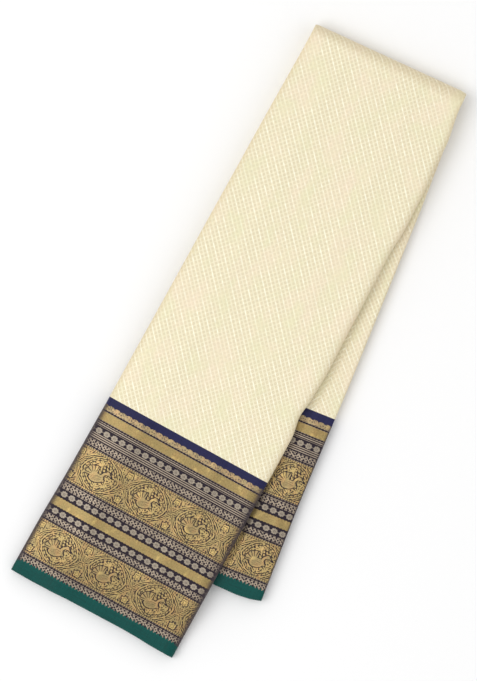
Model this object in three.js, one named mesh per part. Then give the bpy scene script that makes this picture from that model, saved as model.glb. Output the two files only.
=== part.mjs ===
// A silk sari folded for the shelf, lying flat.
//
// The sari is one length of cloth, 6.3 m by 1.2 m. It is folded along its length into a stack of
// plies as wide as PANEL_WIDTH, and the stack is folded once across, which brings its two woven
// borders to the same end. The upper panel lies on the lower one, swung from it by SPLAY degrees.
//
// Millimetres, +Z up. The upper panel runs along Y and its fold is at +Y. The origin is under the
// middle of the whole sari, on the surface that it lies on.
//
// Every solid is a box lattice bent into place. A lattice point is (w, t, station):
//   w        across a panel, from the panel's middle line, to the right when seen from above
//   t        through the stack, from its inner face (0) to its outer face (STACK)
//   station  along the stack, from the lower panel's open end, round the fold, to the upper's
import * as THREE from "three";
import { mergeVertices } from "three/addons/utils/BufferGeometryUtils.js";

const { degToRad, lerp, smootherstep } = THREE.MathUtils;

// ---- Driving sizes ----
const PANEL_WIDTH = 177; // one fold of the sari's length
const UPPER_LENGTH = 604.2; // from the fold's tangent line to the selvedge
const LOWER_LENGTH = 529.4;
const STACK = 13.2; // a panel's thickness: 36 plies of silk
const GAP = 0.6; // between the panels' inner faces
const SEAM = 0.3; // between neighbouring solids
const WALL = 1.2; // the face ply with the ply that is folded under it
const SPLAY = degToRad(6.7); // the lower panel's swing
const FOLD_TILT = degToRad(2.6); // the fold's lean from square to the upper panel
const FOLD_REACH = { left: 12.3, right: 16.2 }; // how far the fold bulges past its tangent line
const SQUARE_FROM_END = 230; // the weave is square to the panel this far in from the selvedge
const SAG = { from: 5, reach: 75 }; // where the upper panel comes down, past the lower one's edge

const HALF = PANEL_WIDTH / 2;
const LIFT = STACK + GAP; // the upper panel's inner face, where it lies on the lower one

// The woven zones of the cloth, measured in from each selvedge.
const ZONES = [
  { zone: "selvedge", from: 0, to: 10.8, rings: 2 },
  { zone: "border", from: 10.8, to: 187, rings: 7 },
  { zone: "line", from: 187, to: 194.7, rings: 1 },
];
const FIELD_FROM = 194.7;

// How far each panel's long edges stand out from HALF, at a distance m from the fold.
const UPPER_RIGHT = [
  { m: 0, out: -11.2 },
  { m: 40, out: -5.2 },
  { m: 97, out: -2 },
  { m: 132, out: -1.2 },
  { m: 156, out: -2.8 },
  { m: 235, out: -1.4 },
  { m: 290, out: -0.2 },
  { m: 317, out: -1.4 },
  { m: 337, out: -3.4 },
  { m: 360, out: -0.1 },
  { m: UPPER_LENGTH, out: 0.4 },
];
const UPPER_LEFT = [
  { m: 0, out: -3 },
  { m: 110, out: -1.9 },
  { m: 250, out: -1.2 },
  { m: 400, out: -0.4 },
  { m: 480, out: 0.6 },
  { m: UPPER_LENGTH, out: 3.2 },
];
const LOWER_RIGHT = [
  { m: 0, out: -11.2 },
  { m: 290, out: -9.9 },
  { m: 425, out: -11.6 },
  { m: LOWER_LENGTH, out: -10.8 },
];
const LOWER_LEFT = [
  { m: 0, out: -3 },
  { m: 150, out: 8 },
  { m: LOWER_LENGTH, out: 9.5 },
];

// Soft creases that run down the upper panel, left by its earlier folds.
const CREASES = [
  { w: -45.8, high: 0.7, wide: 9 },
  { w: 36, high: 0.6, wide: 8 },
];

// The rolled edge of each face wall: an elliptical quarter, carried a little past the upright.
const OUTER_ROLL = {
  left: { across: 5, deep: 4.2, past: 12 },
  right: { across: 9, deep: 5.2, past: 12 },
};
const INNER_ROLL = { across: 3.4, deep: 2.4, past: 0 };
const OUTER_ROLL_STEPS = 3;
const INNER_ROLL_STEPS = 2;

// The hidden layers, from the inner face outwards. Between their folded edges are grooves, GROOVE
// deep. left and right are how far each edge stands out of them, and short is how far the layer
// stops short of the panel's open end.
const GROOVE = 1.5;
const LAYERS = [
  { left: 1.2, right: 0.6, short: 1.2 },
  { left: 0.8, right: 1.3, short: 2.6 },
  { left: 1.3, right: 0.9, short: 0.9 },
];
const GROOVE_SHORT = 3.4; // the same for the grooves
const CREST_FROM = 0.25; // an edge's flat crest, as shares of its layer's height
const CREST_TO = 0.75;

const COLOURS = {
  field: 0xf2e9cb,
  line: 0x23235c,
  border: 0xa88a52,
  selvedge: 0x1a5a4f,
  layers: 0xe9dfbf,
};
const ROUGHNESS = { field: 0.55, line: 0.5, border: 0.4, selvedge: 0.5, layers: 0.6 };
const METALNESS = { field: 0, line: 0, border: 0.55, selvedge: 0, layers: 0 };

// ---- Where a point of the folded stack lies ----

function outAt(table, m) {
  const next = table.findIndex((row) => row.m >= m);
  if (next < 0) return table.at(-1).out;
  if (next === 0) return table[0].out;
  const [a, b] = [table[next - 1], table[next]];
  return lerp(a.out, b.out, (m - a.m) / (b.m - a.m));
}

// Stretches w so that the panel's edges follow their tables.
function widened(w, right, left, m) {
  const out = w > 0 ? outAt(right, m) : outAt(left, m);
  return w * (1 + out / HALF);
}

// How far the weave leans with the fold: 1 at the fold and 0 where it is square to the panel.
function leanShare(m, length) {
  return 1 - smootherstep(m, 0, length - SQUARE_FROM_END);
}

// How far the upper panel has come down at (x, y), from 0 on the lower panel to 1 on the table.
function sagShare(x, y) {
  const u = x * Math.cos(SPLAY) + y * Math.sin(SPLAY);
  const m = x * Math.sin(SPLAY) - y * Math.cos(SPLAY);
  const pastSide = Math.max(0, -(HALF + outAt(LOWER_LEFT, m)) - u);
  const pastEnd = Math.max(0, m - LOWER_LENGTH);
  return smootherstep(Math.hypot(pastSide, pastEnd), SAG.from, SAG.reach);
}

function creaseHeight(w) {
  return CREASES.reduce((sum, c) => sum + c.high * Math.exp(-(((w - c.w) / c.wide) ** 2)), 0);
}

function upperPoint(w, t, m) {
  const x = widened(w, UPPER_RIGHT, UPPER_LEFT, m);
  const y = x * Math.tan(FOLD_TILT) * leanShare(m, UPPER_LENGTH) - m;
  const raised = (creaseHeight(w) * t) / STACK;
  return new THREE.Vector3(x, y, LIFT * (1 - sagShare(x, y)) + t + raised);
}

function lowerPoint(w, t, m) {
  const lean = SPLAY - FOLD_TILT;
  const share = leanShare(m, LOWER_LENGTH);
  const u = widened(w, LOWER_RIGHT, LOWER_LEFT, m) * lerp(1, Math.cos(lean) / Math.cos(FOLD_TILT), share);
  const v = m + u * Math.tan(lean) * share;
  const x = u * Math.cos(SPLAY) + v * Math.sin(SPLAY);
  const y = u * Math.sin(SPLAY) - v * Math.cos(SPLAY);
  return new THREE.Vector3(x, y, STACK - t);
}

// turn runs from 0 at the lower panel to 1 at the upper panel.
function foldPoint(w, t, turn) {
  const angle = Math.PI * (turn - 0.5);
  const radius = GAP / 2 + t;
  const outerRadius = GAP / 2 + STACK;
  const bulge = lerp(FOLD_REACH.left, FOLD_REACH.right, w / PANEL_WIDTH + 0.5);
  const reach = (radius / outerRadius) * bulge * Math.cos(angle);
  const x = widened(w, UPPER_RIGHT, UPPER_LEFT, 0);
  const raised = ((creaseHeight(w) * t) / STACK) * Math.max(0, Math.sin(angle));
  return new THREE.Vector3(
    x - reach * Math.sin(FOLD_TILT),
    x * Math.tan(FOLD_TILT) + reach * Math.cos(FOLD_TILT),
    STACK + GAP / 2 + radius * Math.sin(angle) + raised,
  );
}

const PLACE = { upper: upperPoint, lower: lowerPoint, fold: foldPoint };

// ---- Stations along the stack ----

function evenly(panel, from, to, rings) {
  return Array.from({ length: rings + 1 }, (_, i) => ({ panel, at: lerp(from, to, i / rings) }));
}

const PANEL_LENGTH = { upper: UPPER_LENGTH, lower: LOWER_LENGTH };

// A zone of the upper or lower panel, in the lattice's direction, with half of a seam left at
// each join. The open end has no join.
function zoneStations(panel, { from, to, rings }, seam) {
  const near = PANEL_LENGTH[panel] - to + seam / 2;
  const far = PANEL_LENGTH[panel] - from - (from === 0 ? 0 : seam / 2);
  return panel === "upper" ? evenly(panel, near, far, rings) : evenly(panel, far, near, rings);
}

const LOWER_FIELD_RINGS = 5;
const FOLD_RINGS = 8;
const UPPER_FIELD_RINGS = 15;

function fieldStations(seam) {
  const inset = FIELD_FROM + seam / 2;
  return [
    ...evenly("lower", LOWER_LENGTH - inset, 0, LOWER_FIELD_RINGS).slice(0, -1),
    ...evenly("fold", 0, 1, FOLD_RINGS),
    ...evenly("upper", 0, UPPER_LENGTH - inset, UPPER_FIELD_RINGS).slice(1),
  ];
}

// The whole stack's stations, on the same rings as its faces.
function stackStations() {
  const zones = (panel) => ZONES.map((z) => zoneStations(panel, z, 0));
  return [
    ...zones("lower").flatMap((stations) => stations.slice(0, -1)),
    ...fieldStations(0),
    ...zones("upper").reverse().flatMap((stations) => stations.slice(1)),
  ];
}

// ---- Sections: the lattice's (w, t) in each column and level ----

// Columns between the rolls. They stand on the creases and their feet.
const ACROSS = [-66, -54, -45.8, -37, 0, 27, 36, 46];

// The angles of a roll's points, from its tip to where it meets the flat face.
function rollDegrees(roll, steps) {
  return Array.from({ length: steps + 1 }, (_, i) => lerp(-roll.past, 90, i / steps));
}

// A point on a roll about centre, inset from its outside.
function rollPoint(side, roll, centre, up, inset, degrees) {
  const angle = degToRad(degrees);
  const w = HALF - roll.across + (roll.across - inset) * Math.cos(angle);
  return { w: side * w, t: centre + up * (roll.deep - inset) * Math.sin(angle) };
}

// A face wall's section: for each column, its two surfaces in order of t. The outer wall rolls
// down from t = STACK, and the inner wall rolls up from t = 0.
function wallSection(rolls, base, up, steps) {
  const insets = up > 0 ? [WALL, 0] : [0, WALL];
  const rolled = (side, roll) =>
    rollDegrees(roll, steps).map((degrees) =>
      insets.map((inset) => rollPoint(side, roll, base - up * roll.deep, up, inset, degrees)),
    );
  const flat = ACROSS.map((w) => insets.map((inset) => ({ w, t: base - up * inset })));
  return [...rolled(-1, rolls.left), ...flat, ...rolled(1, rolls.right).reverse()];
}

const OUTER_SECTION = wallSection(OUTER_ROLL, STACK, 1, OUTER_ROLL_STEPS);
const INNER_SECTION = wallSection({ left: INNER_ROLL, right: INNER_ROLL }, 0, -1, INNER_ROLL_STEPS);

// One side of the hidden layers, from the inner face to the outer one: inside the inner wall's
// roll, out over each folded layer, and inside the outer wall's roll.
function layerEdge(name) {
  const side = name === "left" ? -1 : 1;
  const outer = OUTER_ROLL[name];
  const inset = WALL + SEAM;
  const innerCentre = INNER_ROLL.deep;
  const outerCentre = STACK - outer.deep;
  const first = innerCentre + SEAM;
  const tip = outerCentre - outer.deep * Math.sin(degToRad(outer.past));
  const tall = (tip - SEAM - first) / LAYERS.length;
  const groove = (i) => ({ w: side * (HALF - GROOVE), t: first + tall * i, short: GROOVE_SHORT });
  const crest = (i, share) => ({
    w: side * (HALF - GROOVE + LAYERS[i][name]),
    t: first + tall * (i + share),
    short: LAYERS[i].short,
  });
  const inRoll = (roll, steps, centre, up) =>
    rollDegrees(roll, steps)
      .slice(1)
      .map((degrees) => ({ ...rollPoint(side, roll, centre, up, inset, degrees), short: GROOVE_SHORT }));
  return [
    ...inRoll(INNER_ROLL, INNER_ROLL_STEPS, innerCentre, -1).reverse(),
    groove(0),
    ...LAYERS.flatMap((_, i) => [crest(i, CREST_FROM), crest(i, CREST_TO), groove(i + 1)]),
    ...inRoll(outer, OUTER_ROLL_STEPS, outerCentre, 1),
  ];
}

// The hidden layers' section: the two edges, and columns under those of the walls between them.
function layersSection() {
  const [left, right] = [layerEdge("left"), layerEdge("right")];
  const between = ACROSS.map((w) =>
    left.map(({ t, short }, level) => ({ w, t: lerp(t, right[level].t, w / PANEL_WIDTH + 0.5), short })),
  );
  return [left, ...between, right];
}

// ---- Solids ----

// The outward quads of a lattice's six sides. Opposite sides are split along the same diagonal,
// so that two solids that lie face to face stay one seam apart all over.
function latticeQuads(columns, levels, rings) {
  const grid = (na, nb, corner, turned) =>
    Array.from({ length: na * nb }, (_, i) => {
      const [a, b] = [i % na, Math.floor(i / na)];
      const quad = [corner(a, b), corner(a + 1, b), corner(a + 1, b + 1), corner(a, b + 1)];
      return turned ? [quad[0], quad[3], quad[2], quad[1]] : quad;
    });
  return [
    ...grid(columns, rings, (c, r) => [c, 0, r], false),
    ...grid(columns, rings, (c, r) => [c, levels, r], true),
    ...grid(levels, rings, (l, r) => [0, l, r], true),
    ...grid(levels, rings, (l, r) => [columns, l, r], false),
    ...grid(columns, levels, (c, l) => [c, l, 0], true),
    ...grid(columns, levels, (c, l) => [c, l, rings], false),
  ].flat();
}

// A section, given as its columns of levels, carried along the stations.
function bentSolid(name, zone, section, stations) {
  const last = stations.length - 1;
  const place = ([column, level, number]) => {
    const { w, t, short = 0 } = section[column][level];
    const { panel, at } = stations[number];
    const isEnd = number === 0 || number === last;
    return PLACE[panel](w, t, isEnd ? at - short : at);
  };
  const corners = latticeQuads(section.length - 1, section[0].length - 1, last);
  const surface = new THREE.BufferGeometry().setFromPoints(corners.map(place));
  surface.setIndex(
    Array.from({ length: corners.length / 4 }, (_, q) => [0, 1, 2, 0, 2, 3].map((c) => 4 * q + c)).flat(),
  );
  const geometry = mergeVertices(surface);
  geometry.computeVertexNormals();
  const material = new THREE.MeshStandardMaterial({
    color: COLOURS[zone],
    roughness: ROUGHNESS[zone],
    metalness: METALNESS[zone],
  });
  const mesh = new THREE.Mesh(geometry, material);
  mesh.name = name;
  return mesh;
}

// One face of the stack, from selvedge to selvedge: the field and the zones at both ends.
function faceWalls(face, section) {
  const zones = ["upper", "lower"].flatMap((panel) =>
    ZONES.map((z) => {
      const stations = zoneStations(panel, z, SEAM);
      return bentSolid(`${face}_${panel}_${z.zone}`, z.zone, section, stations);
    }),
  );
  return [bentSolid(`${face}_field`, "field", section, fieldStations(SEAM)), ...zones];
}

const sari = new THREE.Group();
sari.name = "folded_silk_sari";
sari.add(
  ...faceWalls("outer", OUTER_SECTION),
  ...faceWalls("inner", INNER_SECTION),
  bentSolid("folded_layers", "layers", layersSection(), stackStations()),
);

// The origin goes under the middle of the whole.
const bounds = new THREE.Box3().setFromObject(sari);
const middle = bounds.getCenter(new THREE.Vector3());
sari.position.set(-middle.x, -middle.y, -bounds.min.z);

export default sari;
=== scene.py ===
"""A cream silk sari with a wide zari border, folded for the shelf and lying flat.

The sari is one length of cloth, folded along its length into a stack of plies, and the stack is
folded once across. Every piece here is a stretch of that cloth, bent by the same rule as the
frame's solids: the stack's outer and inner faces, and the plies hidden between them.

The tables and the rule are in millimetres. A mesh is turned into metres when it is made.
"""
import math

import bpy
import numpy as np
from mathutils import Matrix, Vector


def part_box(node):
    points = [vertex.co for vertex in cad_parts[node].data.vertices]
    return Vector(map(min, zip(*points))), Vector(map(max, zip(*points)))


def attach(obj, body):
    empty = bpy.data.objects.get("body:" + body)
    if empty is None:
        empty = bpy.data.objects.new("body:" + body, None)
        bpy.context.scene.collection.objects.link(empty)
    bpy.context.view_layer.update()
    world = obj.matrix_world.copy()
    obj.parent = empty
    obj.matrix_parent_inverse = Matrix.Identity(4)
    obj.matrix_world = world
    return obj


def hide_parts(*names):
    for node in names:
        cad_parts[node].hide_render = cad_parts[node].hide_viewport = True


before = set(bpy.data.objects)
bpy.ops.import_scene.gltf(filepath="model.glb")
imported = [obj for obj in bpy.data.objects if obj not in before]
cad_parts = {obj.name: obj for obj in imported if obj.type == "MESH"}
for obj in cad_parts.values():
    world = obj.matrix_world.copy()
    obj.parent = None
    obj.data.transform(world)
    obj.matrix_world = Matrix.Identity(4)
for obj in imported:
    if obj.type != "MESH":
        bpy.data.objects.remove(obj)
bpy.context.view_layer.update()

MM = 0.001

# ---- The folded form ----
# A point of a panel is (w, t, m): w across from its middle, t up from its inner face to its outer
# one, and m along it from the fold.
HALF = 88.5  # half of a panel's width
LENGTH = {"upper": 604.2, "lower": 529.4}  # from the fold's tangent line to the selvedge
STACK = 13.2  # a panel's thickness
GAP = 0.6  # between the panels' inner faces
LIFT = STACK + GAP
SPLAY = math.radians(6.7)  # the lower panel's swing
FOLD_TILT = math.radians(2.6)  # the fold's lean from square to the upper panel
FOLD_REACH = {"left": 12.3, "right": 16.2}  # how far the fold bulges past its tangent line
SQUARE_FROM_END = 230  # the weave is square to the panel this far in from the selvedge
SAG = {"from": 5, "reach": 75}  # where the upper panel comes down past the lower one's edge
BEND = 36  # the cloth's length round the fold

# The woven zones, as distances in from each selvedge.
ZONES = {"selvedge": (0, 10.8), "border": (10.8, 187), "line": (187, 194.7)}
FIELD_FROM = 194.7

# How far a long edge stands out from HALF: the distance from the fold, and how far out.
EDGES = {
    "upper_right": [
        (0, -11.2), (40, -5.2), (97, -2), (132, -1.2), (156, -2.8), (235, -1.4), (290, -0.2),
        (317, -1.4), (337, -3.6), (360, -0.1), (604.2, 0.4),
    ],
    "upper_left": [
        (0, -3), (110, -1.9), (250, -1.2), (400, -0.4), (480, 0.6), (560, 2.9), (604.2, 3.2),
    ],
    "lower_right": [(0, -11.2), (60, -9.8), (110, -9.2), (290, -9.7), (425, -11.8), (529.4, -10.6)],
    "lower_left": [(0, -3), (150, 8), (529.4, 9.5)],
}

# How far an open end stops short of the panel's length: the place across it, and how far short,
# which is less than 0 where it reaches past.
ENDS = {
    "upper": [
        (-88.5, -0.8), (-66, -1.2), (-45, -0.9), (-28, -0.2), (0, 0.1), (32, 0.4), (45, 0.1),
        (66, -0.9), (88.5, -1.2),
    ],
    "lower": [(-88.5, 0), (22, 0.7), (38, -0.2), (59, -0.9), (74, 0), (88.5, 2.3)],
}

# Soft ridges and troughs in the cloth's faces: across, slant, start, stop, high, wide. Each runs
# along its panel from m = start to m = stop on the line w = across + slant * (m - start).
RIDGES = {
    "upper": [
        (-45.8, 0.004, -60, 640, 0.75, 8),
        (35.5, 0.003, -60, 640, 0.6, 7),
        (74, 0.008, 60, 640, 0.4, 5),
        (-6, -0.012, 120, 470, -0.35, 16),
        (-70, 0.02, 250, 560, -0.3, 9),
        (62, -0.1, 210, 400, 0.45, 10),
    ],
    "lower": [
        (58, -0.06, 170, 420, -0.7, 7),
        (70, 0.01, 130, 520, 0.6, 5),
        (66, -0.14, 260, 350, 0.8, 6),
        (40, -0.02, 400, 545, -0.6, 5),
        (80.5, -0.1325, 150, 560, -1.6, 6),
    ],
}
RIDGE_FADE = 60  # the length over which a ridge rises and dies away
ROW_TURN = 0.6  # how a table turns at its rows: 0 for corners, 1 for level stretches

# The face plies roll over at the panel's long edges: an elliptical quarter, carried past upright.
OUTER_ROLLS = {
    "left": {"across": 5, "deep": 4.2, "past": 16},
    "right": {"across": 9, "deep": 5.2, "past": 16},
}
INNER_ROLL = {"across": 3.4, "deep": 2.4, "past": 14}
INNER_ROLLS = {"left": INNER_ROLL, "right": INNER_ROLL}
ROLL_STEPS = 12
PLY = 0.3  # the silk's thickness

# The corner of the upper panel's open end, which ties the rule to the frame.
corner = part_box("outer_upper_selvedge")[0] / MM
ORIGIN = np.array([
    corner.x + HALF + EDGES["upper_left"][-1][1],
    corner.y + LENGTH["upper"],
    0,
])


def smooth_step(value, low, high):
    x = np.clip((value - low) / (high - low), 0, 1)
    return x * x * x * (x * (x * 6 - 15) + 10)


def eased(value, table):
    """Reads a table of places and heights, with soft turns at its rows."""
    places, heights = np.array(table, float).T
    row = np.clip(np.searchsorted(places, value) - 1, 0, len(places) - 2)
    share = np.clip((value - places[row]) / (places[row + 1] - places[row]), 0, 1)
    soft = share + ROW_TURN * (share * share * (3 - 2 * share) - share)
    return heights[row] + (heights[row + 1] - heights[row]) * soft


def width_share(w, m, panel):
    """How wide a panel is on the side of w, as a share of HALF."""
    right = eased(m, EDGES[panel + "_right"])
    left = eased(m, EDGES[panel + "_left"])
    return 1 + np.where(w > 0, right, left) / HALF


def lean_share(m, panel):
    return 1 - smooth_step(m, 0, LENGTH[panel] - SQUARE_FROM_END)


def shortened(w, m, panel):
    """Pulls the selvedge back where the open end stops short."""
    near_end = np.clip((m - LENGTH[panel]) / ZONES["selvedge"][1] + 1, 0, 1)
    return m - near_end * eased(w, ENDS[panel])


def sag_share(x, y):
    """How far the upper panel has come down: 0 on the lower panel, 1 on the table."""
    u = x * math.cos(SPLAY) + y * math.sin(SPLAY)
    m = x * math.sin(SPLAY) - y * math.cos(SPLAY)
    past_side = np.maximum(0, -(HALF + eased(m, EDGES["lower_left"])) - u)
    past_end = np.maximum(0, m - LENGTH["lower"])
    return smooth_step(np.hypot(past_side, past_end), SAG["from"], SAG["reach"])


def ridge_height(w, m, panel):
    total = 0
    for across, slant, start, stop, high, wide in RIDGES[panel]:
        off = (w - across - slant * (m - start)) / wide
        rise = smooth_step(m, start, start + RIDGE_FADE)
        fall = 1 - smooth_step(m, stop - RIDGE_FADE, stop)
        total = total + high * rise * fall * np.exp(-off * off)
    return total


def upper_place(w, t, m):
    m = shortened(w, m, "upper")
    x = w * width_share(w, m, "upper")
    y = x * math.tan(FOLD_TILT) * lean_share(m, "upper") - m
    z = LIFT * (1 - sag_share(x, y)) + t + ridge_height(w, m, "upper") * t / STACK
    return x, y, z


def lower_place(w, t, m):
    m = shortened(w, m, "lower")
    lean = SPLAY - FOLD_TILT
    share = lean_share(m, "lower")
    u = w * width_share(w, m, "lower") * (1 + share * (math.cos(lean) / math.cos(FOLD_TILT) - 1))
    v = m + u * math.tan(lean) * share
    x = u * math.cos(SPLAY) + v * math.sin(SPLAY)
    y = u * math.sin(SPLAY) - v * math.cos(SPLAY)
    z = STACK - t + ridge_height(w, m, "lower") * (1 - t / STACK)
    return x, y, z


def fold_place(w, t, turn):
    """turn runs from 0 at the lower panel to 1 at the upper one."""
    angle = math.pi * (turn - 0.5)
    radius = GAP / 2 + t
    across = w / (2 * HALF) + 0.5
    bulge = FOLD_REACH["left"] + (FOLD_REACH["right"] - FOLD_REACH["left"]) * across
    reach = radius / (GAP / 2 + STACK) * bulge * np.cos(angle)
    m = 0 * turn
    x = w * width_share(w, m, "upper")
    ridge = ridge_height(w, m, "upper") * t / STACK * np.maximum(0, np.sin(angle))
    return (
        x - reach * math.sin(FOLD_TILT),
        x * math.tan(FOLD_TILT) + reach * math.cos(FOLD_TILT),
        STACK + GAP / 2 + radius * np.sin(angle) + ridge,
    )


def place(w, t, run):
    """A point of the cloth. run is the way along the stack from the lower panel's open end."""
    w, t, run = np.broadcast_arrays(w, t, run)
    past_lower = run - LENGTH["lower"]
    lower = np.stack(lower_place(w, t, np.maximum(-past_lower, 0)), -1)
    fold = np.stack(fold_place(w, t, np.clip(past_lower / BEND, 0, 1)), -1)
    upper = np.stack(upper_place(w, t, np.maximum(past_lower - BEND, 0)), -1)
    in_lower, in_fold = (past_lower < 0)[..., None], (past_lower <= BEND)[..., None]
    return np.where(in_lower, lower, np.where(in_fold, fold, upper)) + ORIGIN


# ---- Stretches of cloth between two rings of the stack ----
WHOLE_RUN = LENGTH["lower"] + BEND + LENGTH["upper"]
RING_STEP = 4  # between the rings of a woven zone
FIELD_STEPS = {"face": (4, 1.5, 4), "hidden": (10, 4, 9)}


def from_selvedge(panel, run):
    """A run's distance in from a panel's selvedge, or a distance in as a run."""
    return run if panel == "lower" else WHOLE_RUN - run


def zone_runs(panel, zone):
    """The runs of a woven zone's rings, and their distances in from the selvedge."""
    start, stop = sorted(from_selvedge(panel, inwards) for inwards in ZONES[zone])
    runs = np.linspace(start, stop, max(2, round((stop - start) / RING_STEP)) + 1)
    return runs, from_selvedge(panel, runs)


def field_runs(steps):
    """The runs of the field's rings on the lower panel, round the fold and on the upper panel."""
    marks = [FIELD_FROM, LENGTH["lower"], LENGTH["lower"] + BEND, WHOLE_RUN - FIELD_FROM]
    runs = [
        np.linspace(a, b, round((b - a) / step) + 1)
        for a, b, step in zip(marks, marks[1:], steps)
    ]
    return np.concatenate([runs[0], runs[1][1:], runs[2][1:]])


def linked(name, data):
    """Puts a mesh, camera or lamp in the scene as an object."""
    thing = bpy.data.objects.new(name, data)
    bpy.context.scene.collection.objects.link(thing)
    return thing


SHARP_FROM = 50  # degrees; a cut edge of the cloth is sharper than this and a fold is softer


def shell_faces(rings, columns):
    """The four-sided faces of a closed shell: its front, its back and the rim between them."""
    count = rings * columns
    number = np.arange(count).reshape(rings, columns)
    a, b = number[:-1, :-1], number[1:, :-1]
    c, d = number[1:, 1:], number[:-1, 1:]
    front = np.stack([a, b, c, d], -1).reshape(-1, 4)
    rim = np.concatenate([number[0], number[1:, -1], number[-1, -2::-1], number[-2:0:-1, 0]])
    after = np.roll(rim, -1)
    edge = np.stack([rim, after, after + count, rim + count], -1)
    return np.concatenate([front, front[:, ::-1] + count, edge])


def cloth_piece(name, front, back, across, along, fold_shade):
    """A closed thin shell between two grids of points, rings by columns, in millimetres. across and
    along are the cloth's own coordinates at each point, and go into its UV map in metres. The last
    argument is 1 where shade is painted on the cloth, at its folded edges and the fold's crest."""
    grid = front.shape[:2]
    faces = shell_faces(*grid)
    points = np.concatenate([front.reshape(-1, 3), back.reshape(-1, 3)]) * MM
    uv = np.stack([np.broadcast_to(part, grid) for part in (across, along)], -1)
    uv = np.concatenate([uv.reshape(-1, 2)] * 2) * MM
    # Painted shade at the folded edges and the fold's crest, kept as a point attribute for the
    # shaders.
    shade_share = np.tile(np.broadcast_to(fold_shade, grid).astype(np.float32).ravel(), 2)

    mesh = bpy.data.meshes.new(name)
    mesh.vertices.add(len(points))
    mesh.vertices.foreach_set("co", points.ravel())
    mesh.loops.add(faces.size)
    mesh.loops.foreach_set("vertex_index", faces.ravel())
    mesh.polygons.add(len(faces))
    mesh.polygons.foreach_set("loop_start", np.arange(0, faces.size, 4))
    mesh.update(calc_edges=True)
    mesh.uv_layers.new(name="cloth").data.foreach_set("uv", uv[faces.ravel()].ravel())
    mesh.validate()
    mesh.polygons.foreach_set("use_smooth", np.ones(len(faces), bool))
    mesh.set_sharp_from_angle(angle=math.radians(SHARP_FROM))
    mesh.attributes.new("fold_shade", "FLOAT", "POINT").data.foreach_set("value", shade_share)
    piece = linked(name, mesh)
    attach(piece, "root")
    return piece


# ---- The face plies ----
FLAT_STEP = 2.5  # between the columns of a face


def roll_points(side, roll, base, up, inset):
    """Points on a roll, from its tip to the flat face."""
    angle = np.radians(np.linspace(-roll["past"], 90, ROLL_STEPS + 1))
    w = HALF - roll["across"] + (roll["across"] - inset) * np.cos(angle)
    return side * w, base - up * roll["deep"] + up * (roll["deep"] - inset) * np.sin(angle)


def face_line(rolls, base, up, inset):
    """The (w, t) of a face ply's section, from its left tip to its right tip."""
    left = roll_points(-1, rolls["left"], base, up, inset)
    right = roll_points(1, rolls["right"], base, up, inset)
    start, stop = left[0][-1], right[0][-1]
    flat = np.linspace(start, stop, round((stop - start) / FLAT_STEP) + 1)[1:-1]
    level = np.full(len(flat), base - up * inset)
    return (
        np.concatenate([left[0], flat, right[0][::-1]]),
        np.concatenate([left[1], level, right[1][::-1]]),
    )


def arc_length(w, t):
    steps = np.hypot(np.diff(w, axis=-1), np.diff(t, axis=-1))
    start = np.zeros(steps.shape[:-1] + (1,))
    return np.concatenate([start, np.cumsum(steps, -1)], -1)


# Shade is painted on the cloth's crest from 2 before the bend, fully at 10 into it. Its rolls
# flatten to a share of their depth from 30 before the bend, fully at 14 into it.
CREST_SHADE = {"from": 2, "full": 10}
BEND_ROLL = {"from": 30, "full": 14, "share": 0.25}
REPEAT_SHIFT = {"outer": 0, "inner": -67.7}  # where the border's repeat falls on each face

FACES = {
    "outer": {"rolls": OUTER_ROLLS, "base": STACK, "up": 1},
    "inner": {"rolls": INNER_ROLLS, "base": 0, "up": -1},
}
FOLD_SHADE_WIDTH = {"outer": 7, "inner": 2.5, "hidden": 7}  # how far in from a long edge shade is painted on the cloth


# Painted shade along a folded long edge: 1 at the edge, fading out a set width in from it.
def edge_fold_shade(w, plies):
    return smooth_step(np.abs(w), HALF - FOLD_SHADE_WIDTH[plies], HALF)


def width_share_at(w, run):
    """The width share at any place along the stack."""
    in_upper = run > LENGTH["lower"] + BEND / 2
    m = np.maximum(np.where(in_upper, run - LENGTH["lower"] - BEND, LENGTH["lower"] - run), 0)
    return np.where(in_upper, width_share(w, m, "upper"), width_share(w, m, "lower"))


def face_piece(name, face, runs, along):
    """One zone of the stack's outer or inner face, and its flat size in metres."""
    shape = FACES[face]
    outer_line, inner_line = (face_line(inset=inset, **shape) for inset in (0, PLY))
    length = arc_length(*outer_line)
    across = length - np.interp(0, outer_line[0], length)
    across = across * width_share_at(outer_line[0], runs[:, None]) + REPEAT_SHIFT[face]
    into_bend = np.minimum(runs - LENGTH["lower"], LENGTH["lower"] + BEND - runs)
    flatten = smooth_step(into_bend, -BEND_ROLL["from"], BEND_ROLL["full"])[:, None]
    depth = 1 - (1 - BEND_ROLL["share"]) * flatten
    grids = []
    for inset, (w, t) in ((0, outer_line), (PLY, inner_line)):
        level = shape["base"] - shape["up"] * inset
        grids.append(place(w[None], level + (t - level) * depth, runs[:, None]))
    # Painted shade on the fold's crest, and along the folded long edges.
    crest_shade = smooth_step(into_bend, -CREST_SHADE["from"], CREST_SHADE["full"])
    fold_shade = np.maximum(edge_fold_shade(outer_line[0], face), crest_shade[:, None])
    if face == "inner":
        grids = [grid[:, ::-1] for grid in grids]
        across, fold_shade = across[:, ::-1], fold_shade[:, ::-1]
    piece = cloth_piece(name, grids[0], grids[1], across, along[:, None], fold_shade)
    return piece, (length[-1] * MM, (runs[-1] - runs[0]) * MM)


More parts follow.
